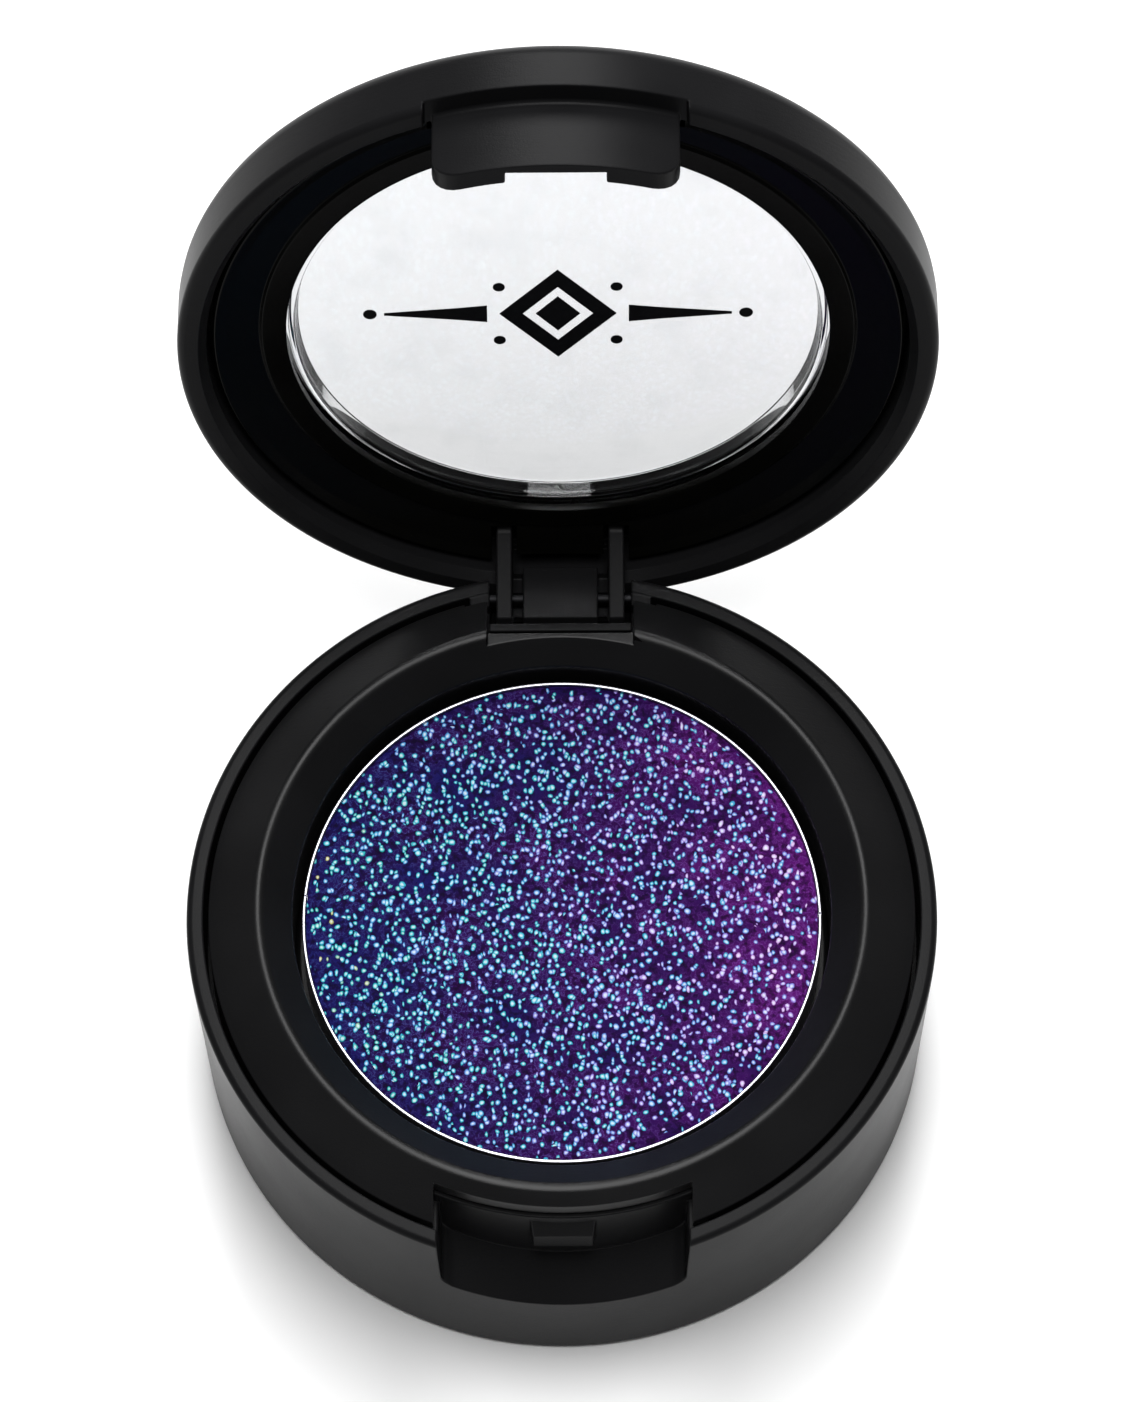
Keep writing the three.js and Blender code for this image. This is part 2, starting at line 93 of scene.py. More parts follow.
def fillet(points):
    """Points (u, v) or (u, v, radius) of a closed outline, with each given corner rounded."""
    out = []
    count = len(points)
    for i, point in enumerate(points):
        corner = Vector(point[:2])
        radius = point[2] if len(point) > 2 else 0.0
        to_last = Vector(points[i - 1][:2]) - corner
        to_next = Vector(points[(i + 1) % count][:2]) - corner
        if radius <= 0 or to_last.length < 1e-6 or to_next.length < 1e-6:
            out.append(tuple(corner))
            continue
        half = to_last.angle(to_next) / 2
        if half > math.radians(88):
            out.append(tuple(corner))
            continue
        reach = min(radius / math.tan(half), 0.48 * to_last.length, 0.48 * to_next.length)
        start = corner + to_last.normalized() * reach
        end = corner + to_next.normalized() * reach
        r = reach * math.tan(half)
        centre = corner + (to_last.normalized() + to_next.normalized()).normalized() * (r / math.sin(half))
        a, b = start - centre, end - centre
        swing = math.atan2(a.x * b.y - a.y * b.x, a.dot(b))
        for k in range(FILLET_STEPS + 1):
            t = swing * k / FILLET_STEPS
            turned = Vector((a.x * math.cos(t) - a.y * math.sin(t), a.x * math.sin(t) + a.y * math.cos(t)))
            out.append(tuple(centre + turned))
    return out


def as_object(bm, name="shape"):
    bmesh.ops.recalc_face_normals(bm, faces=bm.faces)
    mesh = bpy.data.meshes.new(name)
    bm.to_mesh(mesh)
    bm.free()
    obj = bpy.data.objects.new(name, mesh)
    bpy.context.scene.collection.objects.link(obj)
    return obj


def column_angle(k, radius):
    """Direction of facet line k.

    Near the front and the back the lines run parallel to Y, so that a straight cut lies between two.
    """
    even = 2 * math.pi * k / COLUMNS
    off = (even + math.pi / 2) % math.pi - math.pi / 2
    t = min(max((math.radians(STRAIGHT_HALF) - abs(off)) / math.radians(STRAIGHT_BLEND), 0.0), 1.0)
    weight = t * t * (3 - 2 * t)
    parallel = math.asin(min(max(COLUMN_R * math.sin(off) / max(radius, STRAIGHT_FROM_R), -1), 1))
    return even + weight * (parallel - off)


def lathe(profile):
    """A turned solid from a closed (r, z, fillet) outline; points on the axis have r = 0."""
    points = fillet(profile)
    bm = bmesh.new()
    rings = []
    for r, z in points:
        if r < 1e-6:
            rings.append([bm.verts.new((0, 0, z))] * COLUMNS)
            continue
        ring = []
        for k in range(COLUMNS):
            a = column_angle(k, r)
            ring.append(bm.verts.new((r * math.sin(a), -r * math.cos(a), z)))
        rings.append(ring)
    for i, ring in enumerate(rings):
        after = rings[(i + 1) % len(rings)]
        if points[i][0] < 1e-6 and points[(i + 1) % len(rings)][0] < 1e-6:
            continue
        for k in range(COLUMNS):
            n = (k + 1) % COLUMNS
            corners = []
            for v in (ring[k], ring[n], after[n], after[k]):
                if v not in corners:
                    corners.append(v)
            bm.faces.new(corners)
    return as_object(bm)


def disc(radius, z0, z1, edge=0.0):
    return lathe([(0, z0), (radius, z0, edge), (radius, z1, edge), (0, z1)])


def band(r0, r1, z0, z1):
    return lathe([(r0, z0), (r1, z0), (r1, z1), (r0, z1)])


def prism(outline, axis, low, high):
    """A straight solid along an axis; the outline is (y, z), (x, z) or (x, y) with optional fillets."""
    points = fillet(outline)
    places = {
        "x": lambda u, v, w: (w, u, v),
        "y": lambda u, v, w: (u, w, v),
        "z": lambda u, v, w: (u, v, w),
    }
    place = places[axis]
    bm = bmesh.new()
    ends = [[bm.verts.new(place(u, v, w)) for u, v in points] for w in (low, high)]
    bm.faces.new(ends[0])
    bm.faces.new(ends[1])
    for i in range(len(points)):
        n = (i + 1) % len(points)
        bm.faces.new((ends[0][i], ends[0][n], ends[1][n], ends[1][i]))
    return as_object(bm)


def block(low, high):
    (x0, y0, z0), (x1, y1, z1) = low, high
    return prism([(x0, y0), (x1, y0), (x1, y1), (x0, y1)], "z", z0, z1)


def circle(x, y, radius, sides):
    turns = [2 * math.pi * k / sides for k in range(sides)]
    return [(x + radius * math.cos(t), y + radius * math.sin(t)) for t in turns]


def pin_rod(radius, half):
    """A rod along the hinge axis."""
    return prism(circle(PIN_Y, PIN_Z, radius, 48), "x", -half, half)


def bake_modifiers(obj):
    """Turns an object's modifiers into its mesh."""
    bpy.context.view_layer.update()
    made = bpy.data.meshes.new_from_object(obj.evaluated_get(bpy.context.evaluated_depsgraph_get()))
    obj.modifiers.clear()
    obj.data = made


def combine(a, b, operation):
    mod = a.modifiers.new("combine", "BOOLEAN")
    mod.operation = operation
    mod.solver = "MANIFOLD"
    mod.object = b
    bake_modifiers(a)
    bpy.data.objects.remove(b)
    return a


def join(a, *others):
    for b in others:
        combine(a, b, "UNION")
    return a


def cut(a, *others):
    for b in others:
        combine(a, b, "DIFFERENCE")
    return a


def common(a, b):
    return combine(a, b, "INTERSECT")


def moved(obj, change):
    """Passes every vertex through a function."""
    for v in obj.data.vertices:
        v.co = change(v.co)
    return obj


def finish_piece(obj, name, body, nodes=(), bevel=BEVEL, material=None, weld=True):
    """Rounds the cut edges, sets metres and the open position, and hands the piece to its body."""
    if weld:
        bm = bmesh.new()
        bm.from_mesh(obj.data)
        bmesh.ops.remove_doubles(bm, verts=bm.verts, dist=WELD_DIST)
        bmesh.ops.dissolve_degenerate(bm, edges=bm.edges, dist=SLIVER_DIST)
        bm.to_mesh(obj.data)
        bm.free()
    if bevel:
        mod = obj.modifiers.new("edges", "BEVEL")
        mod.width = bevel
        mod.segments = 3
        mod.limit_method = "ANGLE"
        mod.angle_limit = BEVEL_FROM
        mod.use_clamp_overlap = False
        mod.miter_outer = "MITER_SHARP"
        bake_modifiers(obj)
    obj.data.shade_smooth()
    obj.data.set_sharp_from_angle(angle=SHARP_FROM)
    if bevel:
        flat = obj.modifiers.new("flat faces", "WEIGHTED_NORMAL")
        flat.keep_sharp = True
        bake_modifiers(obj)
    obj.data.transform(Matrix.Scale(MM, 4))
    if body == "lid":
        pin = Matrix.Translation((0, PIN_Y * MM, PIN_Z * MM))
        obj.data.transform(pin @ Matrix.Rotation(-math.radians(OPEN_ANGLE), 4, "X") @ pin.inverted())
    obj.name = obj.data.name = name
    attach(obj, body)
    if nodes:
        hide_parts(*nodes)
    obj.data.materials.clear()
    obj.data.materials.append(material)
    return obj


# ---- material helpers --------------------------------------------------------------------

class Finish:
    """A principled material whose detail comes from object-space textures; sizes are in millimetres."""

    def __init__(self, name):
        self.mat = bpy.data.materials.new(name)
        self.mat.use_nodes = True
        self.nodes, self.links = self.mat.node_tree.nodes, self.mat.node_tree.links
        self.shader = self.nodes["Principled BSDF"]
        self.coords = self.nodes.new("ShaderNodeTexCoord").outputs["Object"]

    def link(self, source, target):
        self.links.new(source, target)

    def set(self, **values):
        for key, value in values.items():
            self.shader.inputs[key.replace("_", " ")].default_value = value

    def node(self, kind, inputs=None, **settings):
        n = self.nodes.new("ShaderNode" + kind)
        for key, value in settings.items():
            setattr(n, key, value)
        for key, value in (inputs or {}).items():
            if hasattr(value, "is_output"):
                self.link(value, n.inputs[key])
            else:
                n.inputs[key].default_value = value
        return n

    def scaled(self, sx=1.0, sy=1.0, sz=1.0):
        return self.node("Mapping", {"Vector": self.coords, "Scale": (sx, sy, sz)}).outputs[0]

    def noise(self, size, detail=3.0, rough=0.55, vector=None):
        return self.node("TexNoise", {"Vector": vector or self.coords, "Scale": 1 / (size * MM),
                                      "Detail": detail, "Roughness": rough}).outputs["Fac"]

    def math(self, operation, a, b=None):
        n = self.node("Math", operation=operation)
        for i, value in enumerate((a, b)):
            if value is None:
                continue
            if hasattr(value, "is_output"):
                self.link(value, n.inputs[i])
            else:
                n.inputs[i].default_value = value
        return n.outputs[0]

    def remap(self, value, low, high, to_low=0.0, to_high=1.0):
        return self.node("MapRange", {"Value": value, "From Min": low, "From Max": high,
                                      "To Min": to_low, "To Max": to_high}).outputs["Result"]

    def mix(self, factor, a, b):
        n = self.node("Mix", data_type="RGBA")
        for key, value in (("Factor", factor), ("A", a), ("B", b)):
            socket = [s for s in n.inputs if s.name == key and s.enabled][0]
            if hasattr(value, "is_output"):
                self.link(value, socket)
            else:
                socket.default_value = value
        return [s for s in n.outputs if s.enabled][0]

    def ramp(self, value, stops):
        n = self.node("ValToRGB", {"Fac": value})
        n.color_ramp.interpolation = "LINEAR"
        while len(n.color_ramp.elements) < len(stops):
            n.color_ramp.elements.new(0.5)
        for element, (place, colour) in zip(n.color_ramp.elements, stops):
            element.position = place
            element.color = colour
        return n.outputs["Color"]

    def bump(self, height, distance, strength=1.0, below=None):
        inputs = {"Height": height, "Distance": distance * MM, "Strength": strength}
        if below is not None:
            inputs["Normal"] = below
        return self.node("Bump", inputs).outputs["Normal"]


def rgb(r, g, b):
    """sRGB 0-255 to a linear colour."""
    out = []
    for c in (r, g, b):
        c /= 255
        out.append(c / 12.92 if c <= 0.04045 else ((c + 0.055) / 1.055) ** 2.4)
    return (*out, 1.0)


def shade_of(colour, share):
    return tuple(c * share for c in colour[:3]) + (1.0,)


def moulded_plastic(name, colour, rough, grain, specular, dust=0.0):
    """Black moulded plastic: fine spark-eroded grain, slow gloss changes, rub marks and a little dust."""
    spread = 0.06
    f = Finish(name)
    slow = f.noise(7.0, 2.0)
    fine = f.noise(0.09, 2.0, 0.6)
    rub = f.noise(1.0, 4.0, 0.7, f.scaled(1.0, 6.0, 1.0))
    f.link(f.mix(f.remap(slow, 0.3, 0.7), shade_of(colour, 0.75), colour), f.shader.inputs["Base Color"])
    gloss = f.math("ADD", f.remap(slow, 0.3, 0.7, rough - spread / 2, rough + spread / 2),
                   f.remap(rub, 0.62, 0.8, 0.0, spread))
    if dust:
        specks = f.node("TexVoronoi", {"Vector": f.coords, "Scale": 1 / (0.9 * MM)})
        pick = f.node("SeparateColor", {"Color": specks.outputs["Color"]}).outputs[0]
        speck = f.math("MULTIPLY", f.math("LESS_THAN", specks.outputs["Distance"], 0.05),
                       f.math("GREATER_THAN", pick, 1 - dust))
        gloss = f.math("ADD", gloss, f.math("MULTIPLY", speck, 0.3))
    f.link(gloss, f.shader.inputs["Roughness"])
    f.link(f.bump(fine, 0.004 * grain, 1.0, f.bump(rub, 0.006 * grain, 0.6)), f.shader.inputs["Normal"])
    f.shader.inputs["Specular IOR Level"].default_value = specular
    return f.mat


PIGMENT = [(0.0, rgb(22, 18, 84)), (0.3, rgb(32, 10, 72)), (0.65, rgb(52, 8, 80)), (1.0, rgb(84, 18, 104))]
FLAKES = [
    (0.0, rgb(120, 190, 110)), (0.1, rgb(190, 180, 110)), (0.12, rgb(24, 170, 166)), (0.4, rgb(34, 176, 204)),
    (0.6, rgb(70, 140, 214)), (0.8, rgb(140, 120, 216)), (0.97, rgb(206, 160, 226)),
]
FLAKE_LAYERS = (
    # spacing mm, flake radius as a share of it, share of places that hold one, shift mm, stretch, turn
    (0.36, 0.22, 0.4, 9.1, 0.5, -0.8),
    (0.44, 0.24, 0.55, 3.7, 0.8, 0.5),
    (0.52, 0.24, 0.94, 0.0, 0.95, -0.7),
)


def glitter_shadow(name):
    """Pressed glitter shadow: violet to indigo pigment, packed with turquoise, blue and lilac flakes."""
    f = Finish(name)
    place = f.node("SeparateXYZ", {"Vector": f.coords})
    across = f.remap(place.outputs["X"], -0.011, 0.011)
    cloud = f.noise(3.4, 4.0, 0.6)
    side = f.math("ADD", f.math("MULTIPLY", across, 0.4), f.math("MULTIPLY", cloud, 0.9))
    pigment = f.ramp(f.remap(side, 0.4, 0.95), PIGMENT)
    wander = f.node("TexNoise", {"Vector": f.coords, "Scale": 1 / (0.7 * MM), "Detail": 3.0}).outputs["Color"]
    warped = f.node("MixRGB", {"Fac": 0.00035, "Color1": f.coords, "Color2": wander},
                    blend_type="ADD").outputs["Color"]
    fibre = f.noise(0.34, 4.0, 0.65, warped)
    thread = f.remap(f.math("ABSOLUTE", f.math("SUBTRACT", fibre, 0.54)), 0.022, 0.0)
    pigment = f.mix(f.math("MULTIPLY", f.remap(fibre, 0.52, 0.36), 0.8), pigment, rgb(10, 4, 26))
    threads = f.mix(across, rgb(70, 96, 170), rgb(124, 70, 160))
    pigment = f.mix(f.math("MULTIPLY", thread, f.remap(cloud, 0.38, 0.62, 0.05, 0.75)), pigment, threads)
    flat = f.node("CombineXYZ", {"X": place.outputs["X"], "Y": place.outputs["Y"]}).outputs[0]
    off_axis = f.node("VectorMath", {0: flat}, operation="LENGTH").outputs["Value"]
    # Fewer flakes towards the pan's rim paint a darker band at the cake's edge: painted shade. The noise
    # varies the crowd at random.
    crowd_and_edge_shade = f.math("MULTIPLY", f.remap(off_axis, 11.9 * MM, 12.8 * MM, 1.0, 0.3),
                   f.remap(f.noise(1.9, 2.0), 0.38, 0.6, 0.72, 1.12))
    colour = pigment
    height = f.math("MULTIPLY", fibre, 0.8)
    cover = None
    for spacing, radius, share, shift, stretch, turn in FLAKE_LAYERS:
        grid = f.node("Mapping", {"Vector": warped, "Location": (shift * MM, shift * 1.7 * MM, 0),
                                  "Rotation": (0, 0, turn), "Scale": (1.0, stretch, 1.0)}).outputs[0]
        cells = f.node("TexVoronoi", {"Vector": grid, "Scale": 1 / (spacing * MM), "Randomness": 0.8},
                       voronoi_dimensions="2D")
        pick = f.node("SeparateColor", {"Color": cells.outputs["Color"]})
        size = f.remap(pick.outputs[1], 0.0, 1.0, radius * 0.8, radius * 1.2)
        depth = f.math("SUBTRACT", size, cells.outputs["Distance"])
        held = f.math("LESS_THAN", pick.outputs[0], f.math("MULTIPLY", crowd_and_edge_shade, share))
        flake = f.math("MULTIPLY", f.remap(depth, -0.01, 0.06), held)
        # Each flake's near-white centre is a painted glint: a highlight put into the base colour.
        painted_glint = f.math("MULTIPLY", f.remap(depth, 0.07, 0.2), 0.75)
        tint = f.math("ADD", f.math("MULTIPLY", pick.outputs[2], 0.5),
                      f.math("MULTIPLY", f.math("ADD", across, f.math("MULTIPLY", cloud, 0.4)), 0.42))
        shade = f.mix(painted_glint, f.ramp(tint, FLAKES), rgb(226, 240, 244))
        colour = f.mix(flake, colour, shade)
        height = f.math("ADD", height, f.math("MULTIPLY", flake, 0.5))
        cover = flake if cover is None else f.math("MAXIMUM", cover, flake)
    f.link(f.mix(0.14, colour, (0, 0, 0, 1)), f.shader.inputs["Base Color"])
    f.link(f.remap(cover, 0.0, 1.0, 0.7, 0.38), f.shader.inputs["Roughness"])
    f.link(f.bump(height, 0.05, 0.8), f.shader.inputs["Normal"])
    f.shader.inputs["Specular IOR Level"].default_value = 0.04
    return f.mat


def bright_metal(name, colour, rough):
    """Drawn steel or tinplate with fine draw lines."""
    f = Finish(name)
    lines = f.noise(0.12, 4.0, 0.6, f.scaled(1.0, 1.0, 0.15))
    f.link(f.mix(f.noise(1.5, 3.0), shade_of(colour, 0.85), colour), f.shader.inputs["Base Color"])
    f.set(Metallic=1.0)
    f.link(f.remap(lines, 0.3, 0.7, rough - 0.06, rough + 0.1), f.shader.inputs["Roughness"])
    f.link(f.bump(lines, 0.003), f.shader.inputs["Normal"])
    return f.mat


def clear_plastic(name, colour, smudged):
    """Clear styrene window with hairline scratches and a few faint smudges."""
    f = Finish(name)
    smudge = f.noise(2.6, 3.0, 0.6)
    hair = f.noise(0.5, 2.0, 0.5, f.scaled(1.0, 9.0, 9.0))
    f.link(f.math("ADD", f.remap(smudge, 0.55, 0.75, 0.02, 0.07), f.remap(hair, 0.66, 0.72, 0.0, 0.12)),
           f.shader.inputs["Roughness"])
    f.link(f.mix(f.remap(smudge, 0.5, 0.8), colour, smudged), f.shader.inputs["Base Color"])
    f.link(f.bump(smudge, 0.004, 0.3), f.shader.inputs["Normal"])
    f.shader.inputs["Transmission Weight"].default_value = 1.0
    f.shader.inputs["IOR"].default_value = 1.49
    return f.mat


def dull_film(name, colour, second, rough, size, bump, specular=0.4):
    """Glue, paper or printed ink: two close tones, mottled, with a fine tooth."""
    f = Finish(name)
    mottle = f.remap(f.noise(size, 5.0, 0.65), 0.35, 0.65)
    f.link(f.mix(mottle, colour, second), f.shader.inputs["Base Color"])
    tooth = f.noise(size / 6, 3.0)
    f.link(f.remap(tooth, 0.3, 0.7, rough - 0.05, rough + 0.05), f.shader.inputs["Roughness"])
    f.link(f.bump(tooth, bump), f.shader.inputs["Normal"])
    f.shader.inputs["Specular IOR Level"].default_value = specular
    return f.mat


CASE = moulded_plastic("case_satin_black", rgb(22, 22, 23), 0.32, 1.7, specular=0.042, dust=0.06)
DECK = moulded_plastic("deck_satin_black", rgb(19, 19, 20), 0.34, 1.4, specular=0.17, dust=0.04)
RING = moulded_plastic("ring_gloss_black", rgb(6, 6, 5), 0.22, 0.5, specular=0.05)
METAL = bright_metal("pan_tinplate", (0.5, 0.5, 0.54, 1.0), 0.32)
# The pin's near-black colour is painted shade: a steel pin sitting deep in the hinge slot, where shade falls.
PIN_STEEL_PAINTED_SHADE = bright_metal("pin_steel_painted_shade", (0.012, 0.012, 0.013, 1.0), 0.45)
GLITTER = glitter_shadow("pressed_glitter")
CLEAR = clear_plastic("window_clear", (0.63, 0.635, 0.643, 1), (0.565, 0.57, 0.58, 1))
GLUE = dull_film("glue_film", (0.55, 0.5, 0.4, 1), (0.48, 0.43, 0.33, 1), 0.45, 1.2, 0.02)
BLACK_GLUE = dull_film("black_glue_film", (0.004, 0.004, 0.0045, 1), (0.007, 0.007, 0.008, 1),
                       0.3, 1.2, 0.02)
PAPER = dull_film("label_paper", (0.82, 0.81, 0.78, 1), (0.77, 0.76, 0.72, 1), 0.75, 0.5, 0.01)
INK = dull_film("window_ink", (0.0015, 0.0015, 0.0016, 1), (0.003, 0.003, 0.0032, 1), 0.5, 0.4, 0.004,
                specular=0.05)


# ---- base --------------------------------------------------------------------------------

INNER_Y = -12                  # the notch's cutting tools end here, inside the insert


def catch_bump():
    """The bump on the notch's back wall; its sides lean in towards its front."""
    root = -NOTCH_BACK_R + 0.4
    bump = prism([(root, BASE_H - 0.3), (root, BASE_H - 3.1), (-NOTCH_BACK_R, BASE_H - 3.1),
                  (-CATCH_R, BASE_H - 2.75, 0.1), (-CATCH_R, BASE_H - 1.4, 0.15),
                  (-NOTCH_BACK_R, BASE_H - 0.65)], "x", -CATCH_HALF, CATCH_HALF)
    lean = 0.12
    start = NOTCH_BACK_R - 0.1
    return moved(bump, lambda v: Vector((v.x * (1 - lean * (-v.y - start)), v.y, v.z)))


def base_shell():
    cup = lathe([
        (0, LABEL_RECESS), (LABEL_R + LABEL_ROOM, LABEL_RECESS, 0.05), (LABEL_R + LABEL_ROOM, 0, 0.12),
        (FOOT_R, 0, 0.45), (OUTER_R, BASE_H, 0.34), (SHELL_IN_R, BASE_H, 0.1),
        (SHELL_IN_R, SHOULDER_Z), (SHOULDER_R, SHOULDER_Z, 0.1), (SHOULDER_R, BASE_FLOOR, 0.5),
        (0, BASE_FLOOR),
    ])
    outer = NOTCH_HALF + NOTCH_WALL
    floor_z = NOTCH_LIP_Z - 1
    low_top = BASE_H - 0.9          # the notch's and slot's walls stop here, under the insert's flat
    wall_r = OUTER_R - 0.45         # their ends stay inside the shell
    sides = common(block((-outer, -OUTER_R, floor_z), (outer, INNER_Y, low_top)),
                   band(NOTCH_BACK_R - NOTCH_WALL, wall_r, floor_z - 1, BASE_H))
    back = common(block((-outer, -OUTER_R, BASE_H - 1), (outer, INNER_Y, BASE_H - 0.15)),
                  band(NOTCH_BACK_R - NOTCH_WALL, NOTCH_BACK_R, floor_z, BASE_H))
    slot_outer = SLOT_HALF + SLOT_WALL
    slot_front = SLOT_FRONT_Y - SLOT_LEDGE
    slot_floor = SLOT_FLOOR_Z - 1
    boss_half = slot_outer + NEVER_COPLANAR
    slot_walls = join(
        block((-slot_outer, slot_front, slot_floor), (slot_outer, OUTER_R, low_top)),
        block((-SLOT_HALF, slot_front, slot_floor - 0.1), (SLOT_HALF, SLOT_FRONT_Y, LEDGE_Z)),
        block((-boss_half, BOSS_FRONT_Y, slot_floor - 0.2), (boss_half, OUTER_R, BASE_H - 0.05)),
    )
    slot_walls = common(slot_walls, disc(wall_r, 0, LEDGE_Z))
    # thumb notch: rounded lower corners, side walls leaning in, floor rising to the back
    rise = (NOTCH_BACK_Z - NOTCH_LIP_Z) / (OUTER_R - NOTCH_BACK_R + 0.1)
    opening = prism([(-NOTCH_HALF + 0.25, NOTCH_LIP_Z, 0.75), (NOTCH_HALF - 0.25, NOTCH_LIP_Z, 0.75),
                     (NOTCH_HALF, 16.0), (-NOTCH_HALF, 16.0)], "y", -OUTER_R - 1, INNER_Y)
    opening = moved(opening, lambda v: Vector((v.x, v.y, v.z + rise * (v.y + OUTER_R))))
    opening = cut(opening, disc(NOTCH_BACK_R, 0, FAR))
    slot = join(block((-SLOT_HALF, SLOT_FRONT_Y, SLOT_FLOOR_Z), (SLOT_HALF, STOP_Y, BASE_H + 1)),
                block((-SLOT_HALF, SLOT_FRONT_Y + 0.5, STOP_Z), (SLOT_HALF, OUTER_R + 1, BASE_H + 1)))
    relief = block((-RELIEF_HALF, RELIEF_Y, RELIEF_LOW_Z), (RELIEF_HALF, OUTER_R + 1, RELIEF_HIGH_Z))
    shell = join(cup, sides, back, slot_walls)
    shell = cut(shell, opening, slot, relief, pin_rod(BORE_R, PIN_HALF + 0.15))
    return join(shell, catch_bump())


def pan_holder():
    top = BASE_H
    skin = 0.9                      # thickness of the insert's walls
    well_low = WELL_FLOOR_Z - 0.8
    seat = SHOULDER_Z + 0.3
    ring = lathe([
        (0, well_low), (WELL_R + skin, well_low, 0.2), (WELL_R + skin, top - 0.3, 0.1),
        (CREST_R, top + 0.3, 0.2), (HOLDER_R - skin, top - 0.55, 0.1), (HOLDER_R - skin, seat),
        (HOLDER_R, seat), (HOLDER_R, top - 0.12, 0.14), (CREST_R + 0.02, CREST_Z + 0.14, 0.5),
        (WELL_R, top - 0.05, 0.22), (WELL_R, WELL_FLOOR_Z, 0.3), (0, WELL_FLOOR_Z),
    ])
    under_z = top - 0.65            # underside of the flat
    notch_outer = NOTCH_HALF + NOTCH_WALL + NOTCH_CLEAR
    wall_in = NOTCH_BACK_R - NOTCH_WALL - NOTCH_CLEAR
    over_half = notch_outer + NEVER_COPLANAR
    open_half = NOTCH_HALF + 0.05
    under_deck = cut(block((-notch_outer, -FAR, 0), (notch_outer, -1, under_z)), disc(wall_in, -1, top))
    over_wall = common(block((-over_half, -FAR, 0), (over_half, -1, top)),
                       band(wall_in, NOTCH_BACK_R + 0.2, -1, top + 1))
    opening = cut(block((-open_half, -FAR, 0), (open_half, -1, top + 2)),
                  disc(NOTCH_BACK_R - 0.2, -1, top + 3))
    slot_outer = SLOT_HALF + SLOT_WALL + NOTCH_CLEAR
    slot_front = SLOT_FRONT_Y - SLOT_LEDGE - NOTCH_CLEAR
    slot_half = SLOT_HALF + 0.1
    boss_half = slot_outer + NEVER_COPLANAR
    return cut(ring, under_deck, over_wall, opening,
               block((-slot_outer, slot_front, 0), (slot_outer, FAR, under_z)),
               block((-slot_half, slot_front + 0.15, 0), (slot_half, FAR, top + 2)),
               block((-slot_half, -INNER_Y, LEDGE_Z), (slot_half, FAR, top + 2)),
               block((-boss_half, BOSS_FRONT_Y - NOTCH_CLEAR, 0), (boss_half, FAR, top - 0.04)))


PAN_WALL = 0.18


def shadow_pan():
    """The pressed tin pan, with two small nicks in its rim."""
    bottom = PAN_TOP_Z - PAN_H
    pan = lathe([
        (0, bottom), (PAN_R, bottom, 0.4), (PAN_R, PAN_TOP_Z, 0.07),
        (PAN_R - PAN_WALL, PAN_TOP_Z, 0.07), (PAN_R - PAN_WALL, bottom + PAN_WALL, 0.25),
        (0, bottom + PAN_WALL),
    ])
    for degrees in (1.0, 174.0):
        nick = block((PAN_R - 0.6, -0.07, PAN_TOP_Z - 0.45), (PAN_R + 0.3, 0.07, PAN_TOP_Z + 0.3))
        turn = Matrix.Rotation(math.radians(degrees), 4, "Z")
        cut(pan, moved(nick, lambda v: turn @ v))
    return pan


def pressed_shadow():
    """The pressed cake: a closed puck whose top is uneven and falls away a little at its edge."""
    radius = PAN_R - PAN_WALL - 0.02
    low = PAN_TOP_Z - PAN_H + PAN_WALL + 0.05
    rings, columns = 84, 260
    edge_width, edge_drop = 0.35, 0.12
    waves = ((0.55, 0.045, 3.1), (2.1, 0.022, 8.4), (5.2, 0.016, 1.7))   # per mm, height mm, layer
    bm = bmesh.new()
    centre = bm.verts.new((0, 0, PAN_TOP_Z - 0.06))
    rows = []
    for i in range(1, rings + 1):
        r = radius * i / rings
        row = []
        for k in range(columns):
            a = 2 * math.pi * k / columns
            x, y = r * math.cos(a), r * math.sin(a)
            z = PAN_TOP_Z - 0.07
            for pitch, height, layer in waves:
                z += height * noise.noise(Vector((x * pitch, y * pitch, layer)))
            edge = max(0.0, 1 - (radius - r) / edge_width)
            z -= edge_drop * edge * edge
            row.append(bm.verts.new((x, y, z)))
        rows.append(row)
    rows.append([bm.verts.new((v.co.x, v.co.y, low)) for v in rows[-1]])
    for k in range(columns):
        bm.faces.new((centre, rows[0][k], rows[0][(k + 1) % columns]))
    for inner, outer in zip(rows, rows[1:]):
        for k in range(columns):
            n = (k + 1) % columns
            bm.faces.new((inner[k], outer[k], outer[n], inner[n]))
    bm.faces.new(rows[-1])
    return as_object(bm)


# ---- lid, drawn shut ---------------------------------------------------------------------

def soften(obj, width):
    """Rounds the edges of a separate solid before it is joined to others."""
    mod = obj.modifiers.new("round", "BEVEL")
    mod.width = width
    mod.segments = 4
    mod.limit_method = "ANGLE"
    mod.angle_limit = BEVEL_FROM
    bake_modifiers(obj)
    return obj


